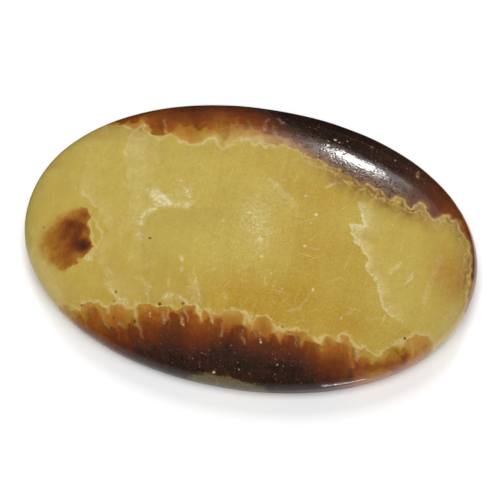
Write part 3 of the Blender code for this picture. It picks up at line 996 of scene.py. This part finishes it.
far_run, far_deep, far_tone = split(stored("far_layer"))
near_run, near_deep, near_tone = split(stored("near_layer"))
in_cluster, in_skirt, cluster_soft = split(stored("cluster"))
far_milk, far_stain, far_crinkle = split(stored("far_side"))
left_sheet, outer_sheet, in_pale = split(stored("veils"))
clean, right_part, pits_and_painted_halo = split(stored("borders"))
cluster_dark, golden, tint = split(stored("tints"))
white_marks, cream_marks, clouds = split(stored("marks"))
olive, painted_rim_sheen, _ = split(stored("olive_and_rim_sheen"))

golden_edge = around(right_part, (fine, 0.15))
golden_side = band(golden_edge, (-0.15, 0.15), (0.0, 5.0), 0.16)
golden_near = soft_step(near_deep, -1.6, -0.2, 0.0, 0.45)
golden_share = plus(golden, times_plus(slow, 1.4, -0.75), golden_near, golden_side)
yellow = blend(times(around(golden_share, (mottle, 0.8)), 0.85), LEMON, HONEY)
clean_edge = around(clean, (fine, 0.12))
yellow = blend(band(clean_edge, (-0.08, 0.08), (0.0, 4.5), 0.55), yellow, TAN)
yellow = blend(band(in_pale, (-0.05, 0.12), (0.0, 7.0), 0.75, 0.25), yellow, PALE)

# %% [markdown]
# Everything white is added up in one number, the milk, and then mixed in once. A veil is a stripe
# beside its sheet. A cloud or a mark is broken up by noise, so that it looks like crushed crystal.
# The right part of the stone is busier with flecks and scratches than the left.

# %% The white veils, clouds and marks
# From where to where along x or y, in millimetres, something sets in or fades
VEIL_CHANGES_Y = (0.0, 3.0)
GOLDEN_LINE_TOP_Y = (4.2, 4.9)
GOLDEN_LINE_GROWS_Y = (0.5, 3.5)
FRINGE_END_X = (12.6, 14.2)
FRINGE_TOP_Y = (3.4, 4.0)
CLOUD_CUT_X = (7.4, 7.6)
# The same, as distances to the right of the left sheet
BUSY_FROM = (3.0, 8.0)
# Turn in radians, length in millimetres, number per millimetre across, and the share that is kept
SCRATCHES = [(-0.55, 7.0, 2.6, 0.45), (-0.95, 5.0, 2.8, 0.4), (1.75, 6.0, 2.5, 0.3), (0.1, 8.0, 2.4, 0.35)]


def veil(distance, width, wander):
    """A sheet's brightness: full just right of its edge, and fading over its width."""
    return band(around(distance, (middling, wander)), (-0.16, 0.06), (0.0, width))


farther = soft_step(place_y, *VEIL_CHANGES_Y)
left_veil = times(veil(left_sheet, 3.6, 0.6), times_plus(farther, 0.11, 0.06))
outer_veil = times(veil(outer_sheet, 1.8, 0.8), times_plus(farther, -0.07, 0.13))
milk = broken(plus(left_veil, outer_veil), middling, 0.36, 0.62, 0.65, 1.15)
milk = times(milk, soft_step(clean_edge, -0.1, 0.1, 1.0, 0.15))
golden_line = band(golden_edge, (-0.55, -0.03), (0.0, 0.1))
golden_line = times(golden_line, soft_step(place_y, *GOLDEN_LINE_TOP_Y, 1.0, 0.0))
milk = times_plus(golden_line, soft_step(place_y, *GOLDEN_LINE_GROWS_Y, 0.02, 0.15), milk)

pale_edge = around(in_pale, (fine, 0.18))
faint_fringe = soft_step(pale_edge, 0.1, 1.5, 0.18, 0.0)
fringe = times_plus(soft_step(pale_edge, 0.1, 0.26, 1.0, 0.0), 0.26, faint_fringe)
open_end = times(soft_step(place_x, *FRINGE_END_X, 1.0, 0.0), soft_step(place_y, *FRINGE_TOP_Y, 1.0, 0.0))
fringe = times(fringe, soft_step(pale_edge, -0.05, 0.05), open_end)
milk = times_plus(fringe, soft_step(mottle, 0.38, 0.6, 0.55, 1.35), milk)

broken_clouds = broken(clouds, around(fine, (dust, 0.5)), 0.36, 0.62, 0.2, 1.25)
pale_cut = sums("MAXIMUM", soft_step(pale_edge, -0.05, 0.08), soft_step(place_x, *CLOUD_CUT_X, 1.0, 0.0))
milk = times_plus(times(broken_clouds, pale_cut), 0.8, milk)
milk = times_plus(broken(sums("POWER", white_marks, 1.3), fine, 0.34, 0.58, 0.35, 1.4), 0.55, milk)
milk = times_plus(drawn_spots(WHITE_SPOTS), 0.72, milk)

cracks = crack_lines(grain(stretched(place, 1.0, 0.5, 1.0), 0.5, 3.0, 0.6), 0.022)
cracks = times(cracks, soft_step(left_sheet, *BUSY_FROM, 1.0, 0.35), soft_step(middling, 0.45, 0.62))
milk = times_plus(cracks, 0.12, milk)
busy = times(soft_step(left_sheet, *BUSY_FROM), soft_step(in_pale, 0.0, 0.5, 1.0, 0.3))
milk = times_plus(flecks(3.0, 0.2, 0.4), times_plus(busy, 0.2, 0.22), milk)
milk = times_plus(flecks(5.0, 0.26, 0.35), times_plus(busy, 0.28, 0.08), milk)
crossing = plus(*(scratches(*row) for row in SCRATCHES))
milk = times_plus(crossing, times_plus(busy, 0.22, 0.07), milk)
# The rims get their painted light here: a pale cream sheen at both ends of the near side.
yellow = blend(painted_rim_sheen, blend(milk, yellow, MILK), CREAM)

# %% [markdown]
# Where the yellow meets the far layer, it is stained tan, like smoke, and a second, broken cream line
# runs through the stain half a millimetre from the first. A brown tint shows through at the right
# end. The grain comes last, and multiplies it all.

# %% The stain, the second line, the tint and the grain
SECOND_LINE_APART = 0.5
smoke = add("CombineXYZ", {0: far_run, 1: far_deep, 2: 3.0})
smoke = grain(stretched(smoke, 2.0, 0.7, 1.0), 1.0, 4.0, 0.6)
stain = broken(sums("POWER", far_stain, 1.3), around(smoke, (fine, 0.4)), 0.34, 0.64, 0.45, 1.3)
yellow = blend(stain, yellow, STAIN)
beside = around(plus(far_deep, SECOND_LINE_APART), (fine, 0.9), (middling, 1.6))
second_line = soft_step(sums("ABSOLUTE", beside), 0.0, 0.15, 1.0, 0.0)
second_line = times(second_line, soft_step(far_stain, 0.2, 0.7))
yellow = blend(broken(second_line, mottle, 0.38, 0.6, 0.1, 0.6), yellow, CREAM)
yellow = blend(broken(tint, around(middling, (growth, 0.8)), 0.3, 0.65, 0.5, 1.2), yellow, TINT)

shade = around(1.0, (growth, 0.16), (middling, 0.16), (mottle, 0.22))
shade = around(shade, (fine, times_plus(busy, 0.26, 0.24)), (dust, times_plus(busy, 0.2, 0.3)))
yellow = blend(1.0, yellow, add("CombineXYZ", {0: shade, 1: shade, 2: shade}), "MULTIPLY")

# %% [markdown]
# A crystal layer. Its crystals stand side by side like columns in two storeys. The outer ones are
# nearly clear and honey-coloured. The inner ones begin at the round heads that were stored above, and
# are amber, then red, then nearly black with depth. A cream line follows the seam, where the last
# clean calcite collected. The brown also turns a little redder or greener from place to place, and
# the near layer, at its right end, turns rosy towards the rim.

# %% The crystal layers
TONES = [
    (0.00, screen(188, 150, 74)), (0.10, screen(176, 131, 55)), (0.22, screen(164, 112, 44)),
    (0.34, screen(149, 90, 36)), (0.48, screen(127, 70, 31)), (0.62, screen(105, 55, 29)),
    (0.78, screen(82, 47, 33)), (0.90, screen(59, 41, 34)), (1.00, screen(42, 28, 22)),
]
JOINT = screen(176, 118, 62)
PAINTED_HALO_MAUVE = screen(140, 110, 87)
ROSY = screen(192, 120, 78)
REDDER = (1.08, 0.93, 0.92, 1.0)
GREENER = (0.98, 1.02, 0.88, 1.0)
# Along x, from where to where the blush sets in
BLUSH_FROM = (9.0, 13.0)
# One where the mist of tiny pits shows, and less in the small clear dots between
round_pits = soft_step(add("TexVoronoi", {"Vector": place, "Scale": 3.4}), 0.18, 0.45)


def tone_colour(tone):
    """The colour of a crystal from its tone: 0 is honey at the seam and 1 is the dark heart."""
    ramp = recipe.nodes.new("ShaderNodeValToRGB")
    stops = ramp.color_ramp.elements
    for index, (position, colour) in enumerate(TONES):
        stop = stops[index] if index < 2 else stops.new(position)
        stop.position = position
        stop.color = colour
    recipe.links.new(tone, ramp.inputs[0])
    return ramp.outputs[0]


def crystal_layer(below, run, deep, tone, head_name, milk, crinkle, pits_and_painted_halo, seed):
    """Lay one crystal layer over the colour below it, and say how dark it is."""
    inside, lead, darkness = split(stored(head_name))
    fibres = add("CombineXYZ", {0: run, 1: deep, 2: seed})
    fibres = grain(stretched(fibres, 5.5, 0.7, 1.0), 1.0, 3.0)

    rounding = add("TexVoronoi", {"W": run, "Scale": 1.9}, 0, voronoi_dimensions="1D")
    edge = times_plus(times(rounding, rounding, crinkle), -0.3, deep)
    edge = around(edge, (fine, 0.5), (mottle, times(crinkle, 0.8)))
    in_head = soft_step(around(inside, (fine, 0.35), (mottle, 0.45)), -0.14, 0.18)
    lighter_out = times(darkness, sums("SUBTRACT", 1.0, tone))
    mixed = times_plus(in_head, plus(lighter_out, 0.14), sums("SUBTRACT", tone, 0.07))
    mixed = around(mixed, (fibres, 0.17), (middling, 0.18), (mottle, 0.15), (fine, 0.18), (dust, 0.18))
    joint = times(soft_step(around(lead, (fine, 0.1)), 0.0, 0.12, 1.0, 0.0), in_head)
    mixed = times_plus(joint, -0.06, mixed)

    hue = blend(soft_step(grain(place, 0.8, 2.0), 0.38, 0.62), REDDER, GREENER)
    brown = blend(1.0, tone_colour(mixed), hue, "MULTIPLY")
    milky = broken(milk, around(middling, (fine, 0.5), (mottle, 0.8)), 0.36, 0.6, 0.15, 1.2)
    brown = blend(milky, brown, CREAM)
    # The mauve mist is partly painted light: besides the pits, it paints the halo round the highlight.
    painted_halo_mist = broken(times(pits_and_painted_halo, round_pits), around(mottle, (fine, 0.8)), 0.32, 0.62, 0.15, 1.0)
    brown = blend(painted_halo_mist, brown, PAINTED_HALO_MAUVE)
    thread = times(joint, soft_step(middling, 0.5, 0.64, 0.0, 0.35), soft_step(mixed, 0.3, 0.7, 1.0, 0.0))
    brown = blend(thread, brown, JOINT)
    dressed = blend(soft_step(edge, -0.05, 0.13), below, brown)

    line = band(edge, (-0.2, 0.0), (0.0, 0.14))
    line = broken(line, around(middling, (mottle, 0.5)), 0.38, 0.62, 0.15, 0.85)
    line = times(line, times_plus(crinkle, -0.3, 1.1))
    dark = times(soft_step(edge, 0.2, 0.6), soft_step(mixed, 0.5, 0.85))
    return blend(line, dressed, CREAM), dark


colour, far_dark = crystal_layer(
    yellow, far_run, far_deep, far_tone, "far_heads", far_milk, far_crinkle, pits_and_painted_halo, seed=2.0,
)
colour, near_dark = crystal_layer(
    colour, near_run, near_deep, near_tone, "near_heads", 0.0, NEAR_CRINKLE, 0.0, seed=7.0,
)
blush = times(soft_step(near_run, *BLUSH_FROM, 0.0, 0.48), soft_step(near_deep, 0.4, 1.6))
colour = blend(broken(blush, middling, 0.36, 0.6, 0.4, 1.1), colour, ROSY)

# %% [markdown]
# The lone cluster uses the same tones. Its soft side comes from letting the step from yellow to
# brown reach further in where the stored fade is large. The cream and dark marks lie over everything.
# In the dark hearts of the crystals, the glitter of a few tiny cleavage faces is painted into the colour.

# %% The lone cluster, the cream marks and the painted glints
def lone_cluster(below):
    """Lay the cluster over the colour below: sharp heads at its right, a long fade at its left."""
    deep = around(in_cluster, (fine, 0.35), (middling, 0.6))
    reach = times_plus(cluster_soft, 1.3, 0.15)
    share = soft_step(sums("DIVIDE", deep, reach), -0.5, 1.2)
    tone = times(plus(times_plus(deep, 0.04, 0.17), cluster_dark), share)
    tone = around(tone, (middling, 0.25), (mottle, 0.25), (fine, 0.2), (dust, 0.2))
    dressed = blend(soft_step(share, 0.0, 0.7), below, tone_colour(tone))
    skirt = around(in_skirt, (fine, 0.3))
    dressed = blend(soft_step(skirt, 0.0, 0.5, 0.0, 0.3), dressed, HONEY)
    return blend(times(band(skirt, (-0.12, 0.02), (0.02, 0.16)), 0.65), dressed, CREAM)


colour = lone_cluster(colour)
broken_cream = broken(sums("POWER", cream_marks, 1.4), fine, 0.34, 0.6, 0.35, 1.1)
colour = blend(broken_cream, colour, CREAM)
colour = blend(drawn_spots(DARK_SPOTS), colour, SPECK)
olive_share = soft_step(around(olive, (middling, 2.0), (fine, 0.7)), 0.25, 0.75, 0.0, 0.85)
olive_share = times(olive_share, soft_step(olive, 0.05, 0.25))
colour = blend(broken(olive_share, dust, 0.35, 0.6, 0.55, 1.1), colour, OLIVE)

# Painted glints: pale flecks and short scratches in the dark hearts, for light off tiny cleavage faces.
PAINTED_GLINT_COLOUR = screen(168, 142, 116)
dark_heart = sums("MAXIMUM", far_dark, near_dark)
small_faces = times(flecks(5.5, 0.3, 0.5), 0.6)
long_faces = times(scratches(0.35, 1.2, 4.5, 0.35), 0.6)
painted_glints = broken(plus(flecks(3.0, 0.24, 0.5), small_faces, long_faces), middling, 0.4, 0.6, 0.3, 1.0)
colour = blend(times(painted_glints, dark_heart, 0.75), colour, PAINTED_GLINT_COLOUR)
# The listed glints are painted light, drawn in the milk colour over the brown.
colour = blend(drawn_spots(PAINTED_GLINT_SPOTS), colour, MILK)

# %% [markdown]
# The polish. Calcite takes a soft gloss, so the roughness is low and a little uneven. The brown
# crystals polish less evenly than the yellow: rough patches between smooth ones turn the edge of a
# highlight into a grey mottled halo. Under the girdle the edge is only ground, and stays silky. The
# stone is slightly translucent, so light spreads a little way under its surface, red the furthest.

# %% The polish
CALCITE_INDEX = 1.58
LIGHT_SPREAD = 0.4 * MM
PEEL_DEPTH = 0.03 * MM
girdle = GIRDLE_HEIGHT / MM
silky = soft_step(place_z, girdle, 0.6 * girdle)
misty = broken(times(pits_and_painted_halo, round_pits), fine, 0.34, 0.56, 0.4, 1.0)
roughness = around(times_plus(misty, 0.08, 0.09), (middling, 0.05))
roughness = times_plus(silky, 0.3, roughness)
peel = times(grain(place, 2.4, 3.0, 0.55), 0.5)
relief = times_plus(misty, 0.27, peel)
bump = add("Bump", {"Strength": 0.5, "Distance": PEEL_DEPTH, "Height": relief})

shader = recipe.nodes.new("ShaderNodeBsdfPrincipled")
shader.inputs["IOR"].default_value = CALCITE_INDEX
shader.inputs["Subsurface Weight"].default_value = 0.25
shader.inputs["Subsurface Radius"].default_value = (1.0, 0.7, 0.25)
shader.inputs["Subsurface Scale"].default_value = LIGHT_SPREAD
recipe.links.new(colour, shader.inputs["Base Color"])
recipe.links.new(roughness, shader.inputs["Roughness"])
recipe.links.new(bump, shader.inputs["Normal"])
surface = recipe.nodes.new("ShaderNodeOutputMaterial")
recipe.links.new(shader.outputs[0], surface.inputs[0])
stone_mesh.materials.append(finish)
print("nodes in the finish:", len(recipe.nodes))

# %% [markdown]
# The finished stone rides on the frame's only body and stands for its plain solid.

# %% Put the stone in the frame
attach(stone, "root")
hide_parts("oval_cabochon")

# %% [markdown]
# The stage is a plain white table, under an even, dim room. A dark card lies round the stone, as
# photographers of polished stones place it. Only reflections see it, and it keeps the dark layers and
# the rim from turning grey. It is black, but grey beside the near edge, and its window is open at the
# right end, because those rims keep a pale sheen. It is three rings of points: the edge of the
# window, the line where the grey has faded to black, and the outer edge.

# %% The table and the card
TABLE_HALF = 3.0
TABLE_DROP = 0.02 * MM
PAPER_SHADE = 0.92
MATT = 0.9
ROOM_LIGHT = 0.06
CARD_REACH = 0.5
CARD_STEPS = 96
WINDOW_GAP_LEFT = 0.9 * MM
WINDOW_GAP_RIGHT = 7.0 * MM
WINDOW_GAP_SIDES = 0.1 * MM
# How far the grey reaches beside the near edge, and over how much of y it sets in from the oval's ends
GREY_REACH = 7.0 * MM
GREY_SETS_IN = 0.3 * HALF_WIDTH
GREY_SHADE = 0.45
BLACK_SHADE = 0.01


def flat_thing(name, points, faces, paint):
    """Add a painted mesh to the scene."""
    mesh = bpy.data.meshes.new(name)
    mesh.from_pydata(points, [], faces)
    mesh.materials.append(paint)
    thing = bpy.data.objects.new(name, mesh)
    bpy.context.scene.collection.objects.link(thing)
    return thing


def plain_paint(name, shade, gloss):
    """A matt grey paint of this brightness."""
    paint = bpy.data.materials.new(name)
    paint.use_nodes = True
    coat = paint.node_tree.nodes["Principled BSDF"]
    coat.inputs["Base Color"].default_value = (shade, shade, shade, 1)
    coat.inputs["Roughness"].default_value = MATT
    coat.inputs["Specular IOR Level"].default_value = gloss
    return paint


table_corners = np.array([(-1, -1, 0), (1, -1, 0), (1, 1, 0), (-1, 1, 0)]) * TABLE_HALF
table = flat_thing("table", table_corners, [(0, 1, 2, 3)], plain_paint("white_paper", PAPER_SHADE, 0.5))
table.location.z = -TABLE_DROP

turns = np.arange(CARD_STEPS) * 2 * math.pi / CARD_STEPS
rim_x, rim_y = oval(turns)
wider = 1 + np.where(rim_x > 0, WINDOW_GAP_RIGHT, WINDOW_GAP_LEFT) / HALF_LENGTH
deeper = 1 + WINDOW_GAP_SIDES / HALF_WIDTH
window = np.stack([rim_x * wider, rim_y * deeper, 0 * turns], -1)
grey_end = window * (1 + GREY_REACH / HALF_WIDTH)
outer_edge = np.stack([np.cos(turns), np.sin(turns), 0 * turns], -1) * CARD_REACH
here = np.arange(CARD_STEPS)
after = (here + 1) % CARD_STEPS
ring = np.stack([here, here + CARD_STEPS, after + CARD_STEPS, after], -1)
velvet = plain_paint("graded_velvet", BLACK_SHADE, 0.0)
card = flat_thing(
    "black_card", np.concatenate([window, grey_end, outer_edge]),
    np.concatenate([ring, ring + CARD_STEPS]).tolist(), velvet,
)
for rays in ("camera", "diffuse", "shadow", "transmission"):
    setattr(card, "visible_" + rays, False)

shades = np.full((3 * CARD_STEPS, 4), BLACK_SHADE)
shades[:CARD_STEPS] += GREY_SHADE * np.clip(-rim_y / GREY_SETS_IN, 0, 1)[:, None]
shades[:, 3] = 1
card_shade = card.data.color_attributes.new("shade", "FLOAT_COLOR", "POINT")
card_shade.data.foreach_set("color", shades.ravel())
shade_node = velvet.node_tree.nodes.new("ShaderNodeAttribute")
shade_node.attribute_name = "shade"
velvet_coat = velvet.node_tree.nodes["Principled BSDF"]
velvet.node_tree.links.new(shade_node.outputs["Color"], velvet_coat.inputs["Base Color"])

# %% [markdown]
# Soft light comes from above, from a little behind, so that the shadow falls towards the camera, and
# weakly from the left. These three boxes aren't seen in reflections. Four others are: a small lamp
# behind the stone draws the highlight on the far shoulder, a wide dim one lays a haze round it, and
# two weak ones lengthen the ends of the haze. The last lamp is a strip a third of a millimetre wide
# beside the near-right edge. It draws the thin glint there, and only reflections see it.

# %% The lamps
# Name, azimuth and elevation in degrees, then distance, width and height in metres, then watts, and
# whether reflections see it
LAMPS = [
    ("back_softbox", -15, 52, 0.8, 0.4, 0.4, 2.7, False),
    ("top_softbox", 165, 66, 0.9, 0.8, 0.8, 9.0, False),
    ("left_fill", -95, 22, 0.7, 0.4, 0.3, 0.5, False),
    ("shoulder_lamp", 6.75, 30.7, 0.6, 0.070, 0.036, 0.42, True),
    ("shoulder_glow", 10.5, 31.0, 0.62, 0.44, 0.17, 0.115, True),
    ("shoulder_left_end", -3.2, 30.5, 0.6, 0.06, 0.05, 0.0075, True),
    ("shoulder_right_end", 15.0, 27.0, 0.6, 0.06, 0.05, 0.015, True),
]
GLINT_PLACE = Vector((10.9, -12.72, 0.3)) * MM
GLINT_BACK = Vector((0.292, -0.586, -0.756))
GLINT_LENGTH = 4.0 * MM
GLINT_WIDTH = 0.3 * MM
GLINT_WATTS = 3.2e-5


def lamp(name, location, back, width, height, watts):
    """A soft box at a place, with its back turned to a direction."""
    light = bpy.data.lights.new(name, "AREA")
    light.shape = "RECTANGLE"
    light.size, light.size_y = width, height
    light.energy = watts
    box = bpy.data.objects.new(name, light)
    bpy.context.scene.collection.objects.link(box)
    box.location = location
    box.rotation_euler = back.to_track_quat("Z", "Y").to_euler()
    return box


def away(azimuth, elevation):
    """The direction from the stone to a lamp. Azimuth 0 is behind the stone, at +Y, and 90 is at +X."""
    turn, rise = math.radians(azimuth), math.radians(elevation)
    return Vector((math.sin(turn) * math.cos(rise), math.cos(turn) * math.cos(rise), math.sin(rise)))


for name, azimuth, elevation, distance, width, height, watts, in_reflections in LAMPS:
    direction = away(azimuth, elevation)
    box = lamp(name, direction * distance, direction, width, height, watts)
    box.visible_glossy = in_reflections
glint = lamp("rim_glint", GLINT_PLACE, GLINT_BACK, GLINT_LENGTH, GLINT_WIDTH, GLINT_WATTS)
glint.visible_camera = False
glint.visible_diffuse = False

world = bpy.data.worlds.new("pale_room")
bpy.context.scene.world = world
world.use_nodes = True
room = world.node_tree.nodes["Background"]
room.inputs[0].default_value = (1, 1, 1, 1)
room.inputs[1].default_value = ROOM_LIGHT
bpy.context.scene.view_settings.view_transform = "Standard"

# %% [markdown]
# The camera looks down at the stone from the front, turned a little to its right end, from 30 cm
# away with a long lens. The stone sits slightly above the middle of the picture, so the camera is
# moved in its own plane, which keeps the view direction.

# %% The camera
CAMERA_AZIMUTH = math.radians(11.275)
CAMERA_ELEVATION = math.radians(61.0)
CAMERA_DISTANCE = 0.300
SENSOR_MM = 36.0
LOOK_AT = Vector((0, 0, 0.003))
PIXELS_PER_MM = 12.058
IMAGE_PIXELS = 500
LOOK_AT_PIXEL = (250.378, 240.106)

back = Vector((
    math.sin(CAMERA_AZIMUTH) * math.cos(CAMERA_ELEVATION),
    -math.cos(CAMERA_AZIMUTH) * math.cos(CAMERA_ELEVATION),
    math.sin(CAMERA_ELEVATION),
))
right = Vector((math.cos(CAMERA_AZIMUTH), math.sin(CAMERA_AZIMUTH), 0))
up = back.cross(right)
slide_right = (IMAGE_PIXELS / 2 - LOOK_AT_PIXEL[0]) / PIXELS_PER_MM * MM
slide_up = (LOOK_AT_PIXEL[1] - IMAGE_PIXELS / 2) / PIXELS_PER_MM * MM

camera_data = bpy.data.cameras.new("camera")
camera_data.sensor_width = SENSOR_MM
camera_data.lens = SENSOR_MM * CAMERA_DISTANCE / (IMAGE_PIXELS / PIXELS_PER_MM * MM)
camera = bpy.data.objects.new("camera", camera_data)
bpy.context.scene.collection.objects.link(camera)
camera.matrix_world = Matrix((
    (right.x, up.x, back.x, 0), (right.y, up.y, back.y, 0), (right.z, up.z, back.z, 0), (0, 0, 0, 1),
))
camera.location = LOOK_AT + back * CAMERA_DISTANCE + right * slide_right + up * slide_up
bpy.context.scene.camera = camera
print("lens, mm:", round(camera_data.lens, 1))
